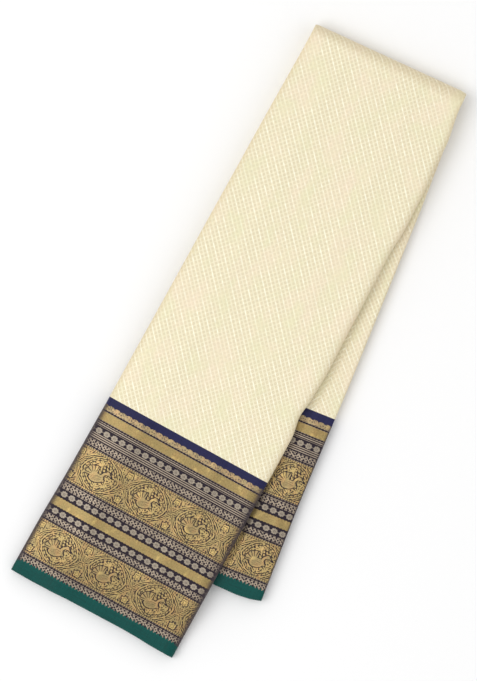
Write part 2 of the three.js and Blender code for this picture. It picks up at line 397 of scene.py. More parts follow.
# ---- The hidden plies: one zigzag of cloth between the two faces ----
PLIES = 34
FACE_DEEP = 0.6  # how deep each face lies over the hidden plies
FIRST, LAST = FACE_DEEP, STACK - FACE_DEEP
PITCH = (LAST - FIRST) / PLIES  # from a ply to the next one
HIDDEN_PLY = 0.24  # a hidden ply's thickness
TUCK = PLY + 0.3  # how far back the plies lie under a rolled edge
NEAR_FACE = {"within": 1, "share": 0.3}  # so near the outer face, a ply sits back only by a share
NOSE_STEPS = 4  # round each turn of the zigzag
INSIDE_COLUMNS = np.array([-80, -71, -62, -53, -44, -34, -18, 10, 42, 74])
UNEVEN = {"end": 0.5, "edge": 0.35, "wander": 0.35}  # how much the plies differ, at most
WANDER_LENGTHS = (70, 130, 310)
SEED = 11

# Bundles of plies that shifted together when the stack was folded, from the inner face: how many
# plies, and how far their left and right edges and their open ends sit back from the face's own.
BUNDLES = [
    (5, 0.5, 0.4, 1.4),
    (3, 1.5, 1.3, 3.0),
    (7, 0.4, 0.9, 0.6),
    (4, 1.3, 0.2, 2.2),
    (6, 0.2, 1.2, 1.0),
    (5, 1.1, 0.5, 3.2),
    (4, 0.6, 0.9, 1.6),
]


def drift(random, run, size):
    """A slow wander along the stack."""
    total = 0
    for length in WANDER_LENGTHS:
        total = total + np.sin(2 * math.pi * (run / length + random.uniform()))
    return size * total / len(WANDER_LENGTHS)


def roll_drop(height):
    """How far a roll has turned in at a share of its height, as a share of its width."""
    return 1 - math.sqrt(1 - min(max(height, 0), 1) ** 2)


def envelope(side, t):
    """Where the stack's long edge stands at a level t, inside the rolls of its faces."""
    outer, inner = OUTER_ROLLS[side], INNER_ROLL
    high = (t - (STACK - outer["deep"])) / outer["deep"]
    low = 1 - t / inner["deep"]
    in_outer = high + math.sin(math.radians(outer["past"])) > 0
    in_inner = low + math.sin(math.radians(inner["past"])) > 0
    drop = outer["across"] * roll_drop(high) + inner["across"] * roll_drop(low)
    return HALF - drop - (TUCK if in_outer or in_inner else 0)


def hidden_lines(runs):
    """The zigzag's middle line and its unit normal, as rings by columns of (w, t), with how far
    each column's open ends sit back."""
    random = np.random.default_rng(SEED)
    left, right, end = np.array([row[1:] for row in BUNDLES for _ in range(row[0])]).T
    short = end + random.uniform(-UNEVEN["end"], UNEVEN["end"], PLIES)
    level = FIRST + (np.arange(PLIES) + 0.5) * PITCH
    columns = []

    def add(*values):
        columns.append([np.broadcast_to(value, runs.shape) for value in values])

    for k in range(PLIES):
        heading = 1 if k % 2 == 0 else -1
        for w in INSIDE_COLUMNS[::heading]:
            add(w, level[k], 0, heading, short[k])
        if k == PLIES - 1:
            break
        side, back = ("right", right[k]) if heading > 0 else ("left", left[k])
        middle = level[k] + PITCH / 2
        back = back + random.uniform(0, UNEVEN["edge"])
        wander = drift(random, runs, UNEVEN["wander"])
        share = 1 if middle < LAST - NEAR_FACE["within"] else NEAR_FACE["share"]
        edge = envelope(side, middle) - PITCH / 2 - back * share + wander
        for turn in np.linspace(-90, 90, NOSE_STEPS + 1):
            out, up = math.cos(math.radians(turn)), math.sin(math.radians(turn))
            w, t = heading * (edge + PITCH / 2 * out), middle + PITCH / 2 * up
            add(w, t, -out, -heading * up, short[k] + (short[k + 1] - short[k]) * (turn + 90) / 180)
    return [np.stack(part, -1) for part in zip(*columns)]


def hidden_piece(name, runs, along):
    """One zone of the hidden plies, and its flat size in metres."""
    w, t, normal_w, normal_t, short = hidden_lines(runs)
    from_end = np.minimum(runs, WHOLE_RUN - runs)
    share = np.clip(1 - from_end / ZONES["selvedge"][1], 0, 1)[:, None]
    towards = np.where(runs < WHOLE_RUN / 2, 1, -1)[:, None]
    run = runs[:, None] + towards * share * short
    half = HIDDEN_PLY / 2
    front = place(w + half * normal_w, t + half * normal_t, run)
    back = place(w - half * normal_w, t - half * normal_t, run)
    across = arc_length(w, t)
    # Painted shade along the hidden plies' folded edges.
    fold_shade = edge_fold_shade(w, "hidden")
    piece = cloth_piece(name, front, back, across, along[:, None], fold_shade)
    return piece, (across[0, -1] * MM, (runs[-1] - runs[0]) * MM)


# ---- Numbers that vary over the cloth, as shader nodes ----
class Signal:
    """An output socket of the tree being built, for sums in plain arithmetic."""

    def __init__(self, socket):
        self.socket = socket
        self.tree = socket.id_data

    def do(self, operation, *others, clamp=False):
        node = self.tree.nodes.new("ShaderNodeMath")
        node.operation = operation
        node.use_clamp = clamp
        for slot, value in zip(node.inputs, (self,) + others):
            feed(slot, value)
        return Signal(node.outputs[0])

    def __add__(self, other):
        return self.do("ADD", other)

    def __sub__(self, other):
        return self.do("SUBTRACT", other)

    def __rsub__(self, other):
        return self.do("MULTIPLY_ADD", -1.0, other)

    def __mul__(self, other):
        return self.do("MULTIPLY", other)

    def __truediv__(self, other):
        return self.do("DIVIDE", other)

    def __abs__(self):
        return self.do("ABSOLUTE")

    __radd__ = __add__
    __rmul__ = __mul__


def feed(slot, value):
    if isinstance(value, Signal):
        value.tree.links.new(value.socket, slot)
    else:
        slot.default_value = value


def node_adder(tree):
    """Gives a function that adds a node and returns its first output. An input's name has an
    underscore for a space."""
    def add(kind, properties=(), **inputs):
        node = tree.nodes.new(kind)
        for label, value in dict(properties).items():
            setattr(node, label, value)
        for label, value in inputs.items():
            feed(node.inputs[label.replace("_", " ")], value)
        return Signal(node.outputs[0])
    return add


def split(vector):
    """The three parts of a vector."""
    node = vector.tree.nodes.new("ShaderNodeSeparateXYZ")
    feed(node.inputs[0], vector)
    return [Signal(part) for part in node.outputs]


def inside(distance, soft=0.15):
    """1 where a signed distance in millimetres is negative, with an edge that is soft wide."""
    return distance.do("MULTIPLY_ADD", -1 / soft, 0.5, clamp=True)


def stripe(distance, half, soft=0.15):
    """1 within half of the line where distance is 0."""
    return inside(abs(distance) - half, soft)


def apart(x, y):
    return (x * x + y * y).do("SQRT")


def wrapped(x, pitch):
    """x in its own repeat, from -pitch / 2 to pitch / 2."""
    return x.do("WRAP", pitch / 2, -pitch / 2)


def either(first, *others):
    """The largest. Of signed distances, that is the part which all share."""
    for other in others:
        first = first.do("MAXIMUM", other)
    return first


def both(first, *others):
    """The least. Of signed distances, that is all their parts together."""
    for other in others:
        first = first.do("MINIMUM", other)
    return first


def limited(share, least):
    return share.do("MINIMUM", 1.0).do("MAXIMUM", least)


def petals(x, y, count):
    """A wave that goes count times round the place where x and y are 0."""
    return (y.do("ARCTAN2", x) * count).do("COSINE")


def turned(x, y, degrees):
    c, s = math.cos(math.radians(degrees)), math.sin(math.radians(degrees))
    return x * c + y * s, y * c - x * s


def oval(x, y, at, radii, degrees=0):
    """A signed distance, near enough, to an oval."""
    u, v = turned(x - at[0], y - at[1], degrees)
    return (apart(u / radii[0], v / radii[1]) - 1) * min(radii)


def noise(x, y, across, along, detail=2.0):
    """Smooth noise about 0 with lumps about as large as across and along, in millimetres."""
    add = node_adder(x.tree)
    spot = add("ShaderNodeCombineXYZ", X=x / across, Y=y / along)
    flat = {"noise_dimensions": "2D"}
    return add("ShaderNodeTexNoise", flat, Vector=spot, Scale=1.0, Detail=detail) - 0.5


def linear(rgb):
    """A dye as the linear colour that a shader takes."""
    shares = [v / 255 for v in rgb]
    return [s / 12.92 if s <= 0.04045 else ((s + 0.055) / 1.055) ** 2.4 for s in shares] + [1]


def dyed(share, under, over):
    """Lays one colour over another. Each is a dye's name or an earlier result."""
    node = share.tree.nodes.new("ShaderNodeMix")
    node.data_type = "RGBA"
    feed(node.inputs["Factor"], share)
    for slot, colour in ((node.inputs[6], under), (node.inputs[7], over)):
        feed(slot, colour if isinstance(colour, Signal) else linear(DYES[colour]))
    return Signal(node.outputs[2])


def shaded(colour, shade):
    """Multiplies a colour by a number."""
    add = node_adder(shade.tree)
    return add("ShaderNodeVectorMath", {"operation": "SCALE"}, Vector=colour, Scale=shade)


def add_socket(tree, label, kind="Float", in_out="INPUT"):
    tree.interface.new_socket(label, in_out=in_out, socket_type="NodeSocket" + kind)


def pattern_group(build, outputs):
    """A node group of a woven pattern. It takes the place across and along the cloth in
    millimetres, and build turns these into a Signal for each output."""
    tree = bpy.data.node_groups.new(build.__name__, "ShaderNodeTree")
    for label in ("Across", "Along"):
        add_socket(tree, label)
    for label in outputs:
        add_socket(tree, label, in_out="OUTPUT")
    start = tree.nodes.new("NodeGroupInput")
    end = tree.nodes.new("NodeGroupOutput")
    results = build(Signal(start.outputs[0]), Signal(start.outputs[1]))
    for result, slot in zip(results, end.inputs):
        feed(slot, result)
    return tree


def woven(pattern, across, along):
    """Puts a pattern's group in the tree of across and along, and gives its outputs."""
    node = across.tree.nodes.new("ShaderNodeGroup")
    node.node_tree = PATTERNS[pattern]
    feed(node.inputs["Across"], across)
    feed(node.inputs["Along"], along)
    return [Signal(socket) for socket in node.outputs]


# ---- Patterns ----
THREAD = 0.46  # the pitch of the ground's threads
TWILL_PITCH = 0.9
LATTICE = {
    "line": {"degrees": 41.2, "pitch": 3.84, "strong": 0.52, "weak": 0.36},
    "cross": {"degrees": -41.8, "pitch": 3.74, "half": 0.34},
    "ring": {"radius": 0.85, "half": 0.26},
}
DISC = {"pitch": 8.6, "start": -81.1, "across": 3.3, "along": 2.75, "petals": 8, "lozenge": 1.15}
SPRIG = {"pitch": 4.17, "start": -1.3, "petals": 8, "heart": 0.85}
ROUNDEL = {"pitch": 53.2, "start": -6.2, "across": 18.8, "along": 17, "spokes": 26}
RING_LINES = (0.86, 0.99, 1.12)  # a roundel's dark lines, as shares of its size
STEM = {"half": 3.2, "pitch": 2.4}  # half the width of crossing stems, and the pitch of their lines
BUD = {"at": (0, 13.2), "radii": (4.6, 3.5), "lobes": 5}
SWAN = {
    "body": {"at": (-2.2, -2.6), "radii": (7.4, 4.3), "degrees": 14},
    "head": {"at": (6.6, 6.1), "radii": (1.9, 1.5), "degrees": -20},
    "beak": {"at": (9, 5.3), "radii": (1.7, 0.55), "degrees": -28},
}
NECK = {"at": (6.9, 1.6), "radius": 4.3, "half": 1.15}
TAIL = {"at": (-5.2, -1), "radius": 9.2, "feathers": 15}
WING = {"at": (-8.4, 3.2), "pitch": 1.9, "half": 0.22}
TOOTH_PITCH = 3.37
GREEN_EDGE = {"at": 11.6, "teeth": 2.2}  # how far in the green goes, and its teeth's height
PINSTRIPE = {"pitch": 2.05, "half": 0.48}
DOTTED = {"knot": 1.1, "half": 0.65}
BEAD = {"pitch": 2.3, "radius": 1}
GOLD_HALF = 4.75
SCALLOP = {"pitch": 2 * TOOTH_PITCH, "edge": 2.8, "arch": 1.3}
SCROLL_PITCH = 4.6


def plain_weave(x, y):
    """Threads going over and under, and the slubs and streaks of hand-reeled silk."""
    over = (x * (2 * math.pi / THREAD)).do("SINE") * (y * (2 * math.pi / THREAD)).do("SINE")
    streak = noise(x, y, 0.9, 40) + noise(x, y, 30, 0.9)
    cloud = noise(x, y, 28, 46, detail=3)
    return over * 0.5 + 0.5, streak, cloud


def field_lattice(x, y):
    """Slanting lines, each second one stronger, fainter ones that cross them, and a small ring in
    each cell."""
    def slanted(degrees):
        angle = math.radians(degrees)
        return x * math.cos(angle) - y * math.sin(angle)

    rows, crossed, circle = LATTICE["line"], LATTICE["cross"], LATTICE["ring"]
    line, cross = slanted(rows["degrees"]), slanted(crossed["degrees"])
    strong = stripe(wrapped(line, 2 * rows["pitch"]), rows["strong"], 0.4)
    weak = stripe(wrapped(line, rows["pitch"]), rows["weak"], 0.4)
    crossing = stripe(wrapped(cross, crossed["pitch"]), crossed["half"], 0.4)
    u = wrapped(line + rows["pitch"] / 2, rows["pitch"])
    v = wrapped(cross + crossed["pitch"] / 2, crossed["pitch"])
    ring = stripe(apart(u, v) - circle["radius"], circle["half"], 0.3)
    dashes = limited(noise(x, y, 2.6, 5.5, detail=1) * 5 + 0.65, 0.25)
    gaps = limited(noise(x, y, 9, 7, detail=1) * 4 + 0.6, 0.15)
    return strong * dashes, weak, crossing * gaps, ring


def disc_row(x, y):
    """Flower discs in a row, with a lozenge at each centre and a knot between each two."""
    x = wrapped(x - DISC["start"], DISC["pitch"])
    wave = petals(x, y, DISC["petals"])
    disc = inside((apart(x / DISC["across"], y / DISC["along"]) - 1) * 2.9 - wave * 0.2, 0.3)
    lozenge = abs(x) + abs(y) * 1.15
    ring = stripe(lozenge - DISC["lozenge"], 0.36)
    clefts = both(inside(wave + 0.72, 0.3), inside(1.75 - lozenge, 0.3))
    knot = inside(apart(abs(x) - DISC["pitch"] / 2, y) - 0.42)
    return disc * (1 - either(ring, clefts * 0.6) * 0.8) + knot * 0.45,


def sprig_row(x, y):
    """Round flowers with dark hearts, and leaves that meet between them in a narrow band."""
    u = abs(wrapped(x - SPRIG["start"], SPRIG["pitch"]))
    side, high = SPRIG["pitch"] / 2 - u, abs(y)
    wave = petals(u, y, SPRIG["petals"])
    uneven = noise(x, y, 1.7, 1.7, detail=1) * 1.7
    hearts = inside(apart(u, y) - SPRIG["heart"] - wave * 0.12 + uneven, 0.25)
    corners = inside(oval(side, high, (0, 1.8), (0.95, 1.35)) + uneven, 0.25)
    clefts = stripe(high - 2.75 + u * 0.55 + uneven * 0.6, 0.36, 0.25)
    tips = inside(apart(side, high - 3.4) - 0.7, 0.25)
    return 1 - either(hearts, corners, clefts * 0.8, tips),


def scrolls(x, y):
    """Curling leaf ground: 1 on the gold and 0 in the small gaps between leaves."""
    k = 2 * math.pi / SCROLL_PITCH
    bent_x = x * k + (y * (k * 0.62)).do("SINE") * 1.7
    bent_y = y * k + (x * (k * 0.62)).do("SINE") * 1.7
    return inside(bent_x.do("SINE") * bent_y.do("SINE") - 0.32, 0.3)


def swan(x, y):
    """A plain swan: its signed distance, and the dark lines of its wing and tail."""
    body, head, beak = (oval(x, y, **SWAN[part]) for part in ("body", "head", "beak"))
    bend = abs(apart(x - NECK["at"][0], y - NECK["at"][1]) - NECK["radius"]) - NECK["half"]
    neck = either(bend, x - 6.2, -1 * y - 3.5)
    back, rise = x - TAIL["at"][0], y - TAIL["at"][1]
    fan = apart(back, rise)
    tail = either(fan - TAIL["radius"], x + 3.2, -1 * y - 2.4)
    feathers = inside(petals(back, rise, TAIL["feathers"]) + 0.55, 0.4)
    tail_lines = both(feathers, inside(3.6 - fan, 0.4), inside(tail, 0.3))
    quills = wrapped(apart(x - WING["at"][0], (y - WING["at"][1]) * 1.5), WING["pitch"])
    wing_lines = both(stripe(quills, WING["half"]), inside(body + 1.1), inside(x - 2.4, 0.5))
    return both(body, neck, head, beak, tail), either(tail_lines, wing_lines)


def roundel_rings(x, y, r, broken):
    """The dark lines and beads of a roundel's ring, and a painted highlight on the thread between
    them.
    """
    size = ROUNDEL["along"]
    rings = either(*(stripe(r - size * at, 0.5, 0.25) for at in RING_LINES))
    rings = both(rings, limited(broken * 5 + 0.9, 0.15))
    spokes = inside(petals(x, y, ROUNDEL["spokes"]) + 0.35, 0.5)
    beads = both(stripe(r - size * 0.93, 0.7), spokes)
    painted_highlight = both(stripe(r - size * 0.985, size * 0.14, 0.3), 1 - rings)
    return either(rings, beads * 0.7), painted_highlight * 0.25


def roundel_stems(side, high, r, ragged):
    """The stems that cross between two roundels: their zone, dark lines and a painted highlight on
    their thread.
    """
    off_stem = side * 1.02 + (side * 0.24).do("SINE") * 1.6 - high
    outside_ring = inside(ROUNDEL["along"] * 1.15 - r, 0.5)
    zone = both(stripe(off_stem, STEM["half"], 0.4), outside_ring)
    between = wrapped(off_stem + STEM["pitch"] / 2, STEM["pitch"])
    dark = both(zone, stripe(between + ragged, 0.5, 0.25))
    painted_highlight = both(zone, stripe(wrapped(off_stem, STEM["pitch"]), 0.5, 0.3))
    return zone, dark, painted_highlight * 0.35


def roundel_bud(side, high):
    """The bud in the gap beside two roundels: its signed distance and its dark lines."""
    lobes = petals(high - 12.4, side, BUD["lobes"])
    bud = oval(side, high, BUD["at"], BUD["radii"]) + lobes * 0.55 + side * 0.2
    return bud, either(stripe(bud - 0.35, 0.4, 0.25), stripe(bud + 1.7, 0.26, 0.25))


def roundel_middle(x, y, r, ragged):
    """The swan in its ring, with a branch and berries over the hollow in front of it: the swan's
    signed distance, the hollow, the dark parts and a painted highlight on the ground round the
    swan."""
    shape, feather_lines = swan(x, y + 1.5)
    in_ring = inside(r - ROUNDEL["along"] * 0.84, 0.4)
    ground = both(in_ring, inside(0.4 - shape, 0.3))
    outline = both(in_ring, stripe(shape - 0.45, 0.42, 0.25))
    branch = stripe(apart(x - 12.5, y - 1) - 9.5, 0.45, 0.3)
    berries = inside(apart(wrapped(x + y * 0.3, 3.3), wrapped(y + 0.6, 2.9)) - 1.05, 0.4)
    hollow = both(ground, inside(apart(x - 5, y - 6.5) - 6.2 + ragged * 1.5, 2.2))
    shade = both(hollow, 1 - either(berries, branch))
    dark = either(feather_lines * 0.85, outline, shade * 0.95)
    return shape, hollow, dark, ground * 0.3


def roundel_row(x, y):
    """Swans in pointed rings, which crossing stems tie together, with a bud in each gap."""
    size = ROUNDEL["along"]
    broken = noise(x, y, 2.4, 2.4, detail=1)
    ragged = broken * 1.5
    x = wrapped(x - ROUNDEL["start"], ROUNDEL["pitch"]) + noise(y, x, 5, 5) * 1.6
    y = y + noise(x, y, 5, 5) * 1.6
    u, v = abs(x) / ROUNDEL["across"], abs(y) / size
    r = (apart(u, v) * 0.78 + (u + v) * 0.22) * size
    side, high = ROUNDEL["pitch"] / 2 - abs(x), abs(y)

    rings, ring_highlights = roundel_rings(x, y, r, broken)
    stem_zone, stems, stem_highlights = roundel_stems(side, high, r, ragged)
    bud, bud_lines = roundel_bud(side, high)
    shape, hollow, middle, ground_highlight = roundel_middle(x, y, r, ragged)
    free = both(1 - inside(shape - 0.5, 0.3), 1 - inside(bud - 0.3, 0.3), 1 - stem_zone)
    free = both(free, 1 - hollow, 1 - stripe(r - size * 0.985, 2.2))
    gaps = both(1 - scrolls(abs(x), y), free, inside(-0.25 - broken * 2, 0.4))
    dark = either(rings, stems, bud_lines, middle, gaps * 0.95)
    # Painted highlights on the rings, the stems, the buds and the ground round the swan.
    painted_highlight = either(ring_highlights, stem_highlights, inside(bud + 0.6, 0.3) * 0.6, ground_highlight)
    return 1 - dark, painted_highlight


PATTERN_OUTPUTS = {
    plain_weave: ["Height", "Streak", "Cloud"],
    field_lattice: ["Strong", "Weak", "Cross", "Ring"],
    disc_row: ["Thread"],
    sprig_row: ["Thread"],
    # Highlight: painted highlights on the roundels' thread.
    roundel_row: ["Thread", "Bright"],
}
PATTERNS = {build: pattern_group(build, outputs) for build, outputs in PATTERN_OUTPUTS.items()}

# ---- The border's bands, with how far in from the selvedge each one starts and stops ----
BORDER = [
    ("sprig", 12.0, 18.5),
    ("dotted", 18.5, 20.5),
    ("bead", 20.5, 22.9),
    ("roundel", 22.9, 56.6),
    ("bead", 56.6, 58.8),
    ("dotted", 58.8, 60.6),
    ("sprig", 60.6, 66.4),
    ("disc", 67.6, 73.8),
    ("gold", 75.3, 84.7),
    ("disc", 86.1, 92.3),
    ("sprig", 93.6, 100.4),
    ("dotted", 100.4, 102.6),
    ("bead", 102.6, 105.4),
    ("roundel", 105.4, 140.2),
    ("bead", 140.2, 142.5),
    ("dotted", 142.5, 144.7),
    ("sprig", 144.7, 150.9),
    ("pinstripe", 152.3, 157.2),
    ("disc", 157.5, 163.7),
    ("pinstripe", 165.0, 168.9),
    ("dotted", 168.9, 170.9),
    ("gold", 170.9, 179.7),
    ("dotted", 179.7, 181.6),
    ("scallop", 181.6, 187.0),
]

DYES = {  # display values, from 0 to 255
    "cream": (236, 226, 194),
    "cream_line": (255, 252, 230),
    "cream_cross": (247, 240, 214),
    "cream_ring": (218, 204, 168),
    "cream_warm": (242, 222, 198),
    "cream_cool": (230, 227, 186),
    # Painted shade: the tan cast of the cream at the folded edges and the fold's crest.
    "cream_shade": (204, 180, 138),
    "navy": (38, 38, 76),
    "navy_dark": (26, 26, 62),
    "green": (6, 77, 71),
    "green_dark": (2, 56, 53),
    "ground": (38, 30, 40),
    "zari": (164, 144, 100),
    "zari_warm": (184, 149, 102),
    "zari_plain": (154, 134, 84),
    # Painted highlight: the colour of glints and of relief on the zari.
    "zari_highlight": (226, 196, 122),
    "zari_pale": (164, 149, 131),
    "zari_disc": (154, 143, 128),
    # Painted shade: the dark of the zari at the folded edges and the fold's crest.
    "zari_shade": (64, 56, 60),
}


def cloth_place(tree):
    """The place across and along the cloth, in millimetres, from the piece's own UV map."""
    across, along, _ = split(node_adder(tree)("ShaderNodeUVMap", {"uv_map": "cloth"}))
    return across * (1 / MM), along * (1 / MM)


def fold_shade_share(tree):
    """1 where shade is painted on the cloth, at its folded edges and the fold's crest."""
    node = tree.nodes.new("ShaderNodeAttribute")
    node.attribute_name = "fold_shade"
    return Signal(node.outputs["Fac"])


def band_masks(along, kind):
    """A mask of all bands of a kind, and the place along the cloth from their middles."""
    bands = [(start, stop) for own, start, stop in BORDER if own == kind]
    masks = [along.do("COMPARE", (start + stop) / 2, (stop - start) / 2) for start, stop in bands]
    middles = [mask * ((start + stop) / 2) for mask, (start, stop) in zip(masks, bands)]
    return sum(masks), along - sum(middles)


SILK = {"Specular IOR Level": 0.15, "Sheen Weight": 0.06, "Sheen Roughness": 0.4}
BUMP = {"Strength": 0.5, "Distance": 0.12 * MM}  # from the ground's hollows to the brocade's top
SHADE_TAN = 0.32  # how far the cream goes to tan in the painted shade at the folded edges and the fold's crest
SHADE_DARK = 0.92  # how far zari goes dark in that painted shade
ZARI_METAL = 0.55


def silk(name, weave):
    """A finish of the sari. weave takes across and along and gives its colour, its share of metal
    thread, its roughness and its height."""
    material = bpy.data.materials.new(name)
    material.use_nodes = True
    tree = material.node_tree
    shader = tree.nodes["Principled BSDF"]
    colour, metal, rough, height = weave(*cloth_place(tree))
    bump = node_adder(tree)("ShaderNodeBump", Height=height, **BUMP)
    look = {"Base Color": colour, "Metallic": metal, "Roughness": rough, "Normal": bump, **SILK}
    for label, value in look.items():
        feed(shader.inputs[label], value)
    return material


def weave_field(x, y):
    height, streak, cloud = woven(plain_weave, x, y)
    strong, weak, cross, ring = woven(field_lattice, x, y)
    colour = dyed(ring * 0.9, "cream", "cream_ring")
    colour = dyed(cross * 0.5, colour, "cream_cross")
    colour = dyed(either(strong, weak * 0.45), colour, "cream_line")
    colour = dyed(cloud * 1.6 + 0.05, colour, "cream_warm")
    colour = dyed(noise(y, x, 34, 21) * 1.8, colour, "cream_cool")
    # Painted shade: the cream goes tan at the folded edges and the fold's crest.
    colour = dyed(fold_shade_share(x.tree) * SHADE_TAN, colour, "cream_shade")
    colour = shaded(colour, 1 + streak * 0.07 + cloud * 0.03 + noise(x, y, 2.2, 2.8) * 0.16)
    raised = height * 0.4 + either(strong, cross * 0.5) * 0.5
    return colour, 0.0, 0.5 - strong * 0.08, raised


def weave_plain(dye):
    def weave(x, y):
        height, streak, cloud = woven(plain_weave, x, y)
        twill = ((x + y) * (2 * math.pi / TWILL_PITCH)).do("SINE") * 0.5 + 0.5
        colour = dyed(twill * 0.35 + height * 0.15, dye, dye + "_dark")
        colour = shaded(colour, 1 + streak * 0.5 + cloud * 0.3 + noise(x, y, 2.4, 1.6) * 0.4)
        return colour, 0.0, 0.46 + streak * 0.2, height * 0.5 + twill * 0.3
    return weave


def narrow_bands(x, middle, tooth):
    """The thread of the pinstripes, of the dotted rules, of the beads and of the gold bands."""
    pinstripe = stripe(wrapped(middle["pinstripe"], PINSTRIPE["pitch"]), PINSTRIPE["half"], 0.2)
    knots = inside(apart(wrapped(x, TOOTH_PITCH), middle["dotted"]) - DOTTED["knot"], 0.2)
    dotted = 1 - either(knots, stripe(middle["dotted"], DOTTED["half"], 0.2))
    bead = inside(apart(wrapped(x, BEAD["pitch"]), middle["bead"]) - BEAD["radius"], 0.3)
    gold = stripe(middle["gold"], GOLD_HALF - tooth * 0.6, 0.2)
    return pinstripe, dotted, bead, gold


def scallop_band(x, y, off_middle):
    """Where the scallops reach, and their thread."""
    lobe = abs(wrapped(x, SCALLOP["pitch"])) * (2 / SCALLOP["pitch"])
    reach = inside(off_middle - SCALLOP["edge"] + lobe * lobe * SCALLOP["arch"], 0.2)
    return reach, both(reach, scrolls(x, y) * 0.7 + 0.3)


def zari_dye(x, y, plain, painted_highlight):
    """Rich zari: warmer in clouds, plainer in the gold bands, with painted highlights on its relief
    and painted glints.
    """
    zari = dyed(noise(x, y, 7, 9) * 3 + 0.2, "zari", "zari_warm")
    zari = dyed(plain * 0.6, zari, "zari_plain")
    # Painted glints: bright spots scattered over the zari.
    painted_glints = (noise(y, x, 12, 9) * 4 - 0.5).do("MAXIMUM", 0.0)
    return dyed(either(painted_highlight, painted_glints) * 0.8, zari, "zari_highlight")


def weave_border(x, y):
    height, streak, cloud = woven(plain_weave, x, y)
    mask, middle = {}, {}
    for kind in sorted({row[0] for row in BORDER}):
        mask[kind], middle[kind] = band_masks(y, kind)
    tooth = abs(wrapped(x, TOOTH_PITCH)) * (2 / TOOTH_PITCH)
    disc, = woven(disc_row, x, middle["disc"])
    sprig, = woven(sprig_row, x, middle["sprig"])
    roundel, painted_highlight = woven(roundel_row, x, middle["roundel"])
    pinstripe, dotted, bead, gold = narrow_bands(x, middle, tooth)
    scallop_reach, scallop = scallop_band(x, y, middle["scallop"])

    pale = either(
        mask["disc"] * disc, mask["sprig"] * sprig, mask["pinstripe"] * pinstripe,
        mask["dotted"] * dotted, mask["scallop"] * scallop,
    )
    rich = either(
        mask["roundel"] * roundel, mask["bead"] * bead, mask["gold"] * gold * 0.94,
        mask["scallop"] * scallop * 0.75,
    )
    green_edge = inside(y - GREEN_EDGE["at"] - tooth * GREEN_EDGE["teeth"], 0.2)
    navy_edge = both(mask["scallop"], 1 - scallop_reach)
    colour = dyed(navy_edge * 0.6, "ground", "navy")
    colour = dyed(green_edge, colour, "green")
    colour = dyed(both(pale, 1 - green_edge), colour, "zari_pale")
    colour = dyed(mask["disc"] * disc, colour, "zari_disc")
    # The zari's colour carries painted highlights on the roundels and painted glints.
    colour = dyed(rich, colour, zari_dye(x, y, mask["gold"], painted_highlight * mask["roundel"]))
    # Painted shade at the folded edges and the fold's crest: the zari goes dark there and loses its
    # metal.
    shade_share = fold_shade_share(x.tree)
    colour = dyed(shade_share * SHADE_DARK, colour, "zari_shade")
    # Painted sparkle: random lighter and darker spots over the border that stand for glints off the
    # zari; the same noise varies the roughness.
    painted_sparkle = noise(x, y, 1.5, 1.2, detail=1)
    colour = shaded(colour, 1 + streak * 0.12 + cloud * 0.12 + painted_sparkle * 0.7)
    thread = either(pale, rich)
    metal = thread * (1 - shade_share) * ZARI_METAL
    return colour, metal, 0.5 - thread * 0.08 + painted_sparkle * 0.15, height * 0.3 + thread * 0.7


WEAVES = {
    "field": ("field_silk", weave_field),
    "line": ("line_silk", weave_plain("navy")),
    "selvedge": ("selvedge_silk", weave_plain("green")),
    "border": ("zari_border", weave_border),
}
FINISHES = {zone: silk(slot, weave) for zone, (slot, weave) in WEAVES.items()}


# ---- Laying the pieces ----
def dress(piece, zone, node):
    piece.data.materials.append(FINISHES[zone])
    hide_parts(node)


def lay_stretches(steps, up, make, node_of):
    """The field, and the woven zones at both panels' open ends. make gives a stretch's piece and
    flat size, and node_of the node that it replaces."""
    runs = field_runs(steps)
    field, flat = make("field", runs, runs * up)
    dress(field, "field", node_of("field"))
    for panel in ("upper", "lower"):
        made = {}
        for zone in ZONES:
            made[zone] = make(f"{panel}_{zone}", *zone_runs(panel, zone))
            dress(made[zone][0], zone, node_of(f"{panel}_{zone}"))


def lay_face(face):
    lay_stretches(
        FIELD_STEPS["face"], FACES[face]["up"],
        lambda stretch, *ways: face_piece(f"{face}_{stretch}_cloth", face, *ways),
        lambda stretch: f"{face}_{stretch}",
    )


def lay_hidden_plies():
    lay_stretches(
        FIELD_STEPS["hidden"], 1,
        lambda stretch, *ways: hidden_piece(f"folded_{stretch}", *ways),
        lambda stretch: "folded_layers",
    )


# ---- The weft's turns along the selvedges ----
TURN = {"Pitch": 1.1 * MM, "Reach": 0.3 * MM, "Thickness": 0.15 * MM, "Unevenness": 0.3}
TURN_SHARE = 0.42  # a turn's half width, as a share of the pitch
TUCKED = 0.06 * MM  # how far its two ends go into the cloth


def unit(vectors):
    return vectors / np.linalg.norm(vectors, axis=-1, keepdims=True)


def selvedge_line(face, panel):
    """Points along a face's open end, with the way out of the cloth and the way up off it."""
    run, inward = (0, 1) if panel == "lower" else (WHOLE_RUN, -1)
    runs = np.array([[run], [run + inward]])
    middle, outside = (
        place(*(v[None] for v in face_line(inset=inset, **FACES[face])), runs)
        for inset in (PLY / 2, 0)
    )
    return middle[0] * MM, unit(middle[0] - middle[1]), unit(outside[0] - middle[0])


def selvedge_lines():
    """All four ends of the faces, as one mesh of edges."""
    rows = [selvedge_line(face, panel) for face in FACES for panel in ("upper", "lower")]
    points, out, up = (np.concatenate(part) for part in zip(*rows))
    edges, first = [], 0
    for row in rows:
        last = first + len(row[0]) - 1
        edges += [(i, i + 1) for i in range(first, last)]
        first = last + 1
    mesh = bpy.data.meshes.new("selvedge_lines")
    mesh.from_pydata(points.tolist(), edges, [])
    for label, vectors in (("out", out), ("up", up)):
        layer = mesh.attributes.new(label, "FLOAT_VECTOR", "POINT")
        layer.data.foreach_set("vector", vectors.ravel())
    return mesh


